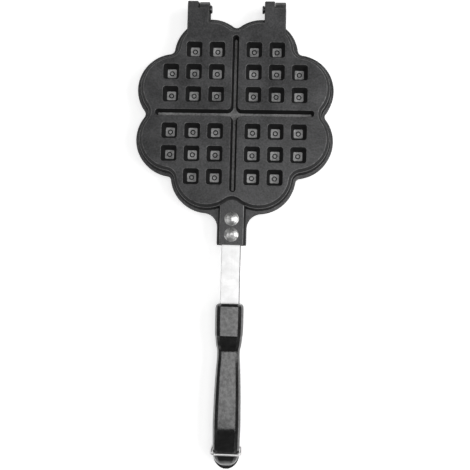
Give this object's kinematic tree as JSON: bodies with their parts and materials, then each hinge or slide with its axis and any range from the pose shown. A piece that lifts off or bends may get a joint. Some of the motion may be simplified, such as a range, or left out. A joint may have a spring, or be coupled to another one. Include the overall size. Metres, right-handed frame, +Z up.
{
  "type": "egg waffle pan",
  "caption": "Hinged stove-top waffle pan: lobed cast plates with studs shape heart waffles, long straps carry black grips, and a wire bail holds them shut.",
  "frame": {"origin": "centre of the lower plate's outer face, on which the pan rests", "axes": "+Y from the grips to the hinge, +Z up from the lower plate to the upper plate, +X to the right seen from above with the hinge away"},
  "size_m": [0.1736, 0.4098, 0.0234],
  "materials": {
    "non_stick_casting": "dark grey satin non-stick coat on cast aluminium",
    "dark_pin": "dark coated steel",
    "bright_strap": "bright polished steel",
    "rivet_steel": "bright steel with hammered dimples",
    "black_phenolic": "glossy black moulding",
    "screw_steel": "plated steel",
    "insert_brass": "turned brass",
    "bail_wire": "bright drawn wire"
  },
  "bodies": {
    "base": {"lower_plate": "non_stick_casting", "left_hinge_pin": "dark_pin", "right_hinge_pin": "dark_pin", "lower_strap": "bright_strap", "lower_inner_rivet": "rivet_steel", "lower_outer_rivet": "rivet_steel", "lower_grip": "black_phenolic", "lower_front_screw": "screw_steel", "lower_rear_screw": "screw_steel", "lower_front_insert": "insert_brass", "lower_rear_insert": "insert_brass"},
    "lid": {"upper_plate": "non_stick_casting", "upper_strap": "bright_strap", "upper_inner_rivet": "rivet_steel", "upper_outer_rivet": "rivet_steel", "upper_grip": "black_phenolic", "upper_front_screw": "screw_steel", "upper_rear_screw": "screw_steel", "upper_front_insert": "insert_brass", "upper_rear_insert": "insert_brass"},
    "bail": {"wire_bail": "bail_wire"}
  },
  "joints": [
    {"name": "lid_hinge", "type": "hinge", "parent": "base", "child": "lid", "pos_m": [0, 0.0972, 0.01165], "axis": [-1, 0, 0], "range_deg": [0, 180]},
    {"name": "bail_swing", "type": "hinge", "parent": "base", "child": "bail", "pos_m": [0, -0.2895, 0.00565], "axis": [1, 0, 0], "range_deg": [0, 61]}
  ]
}
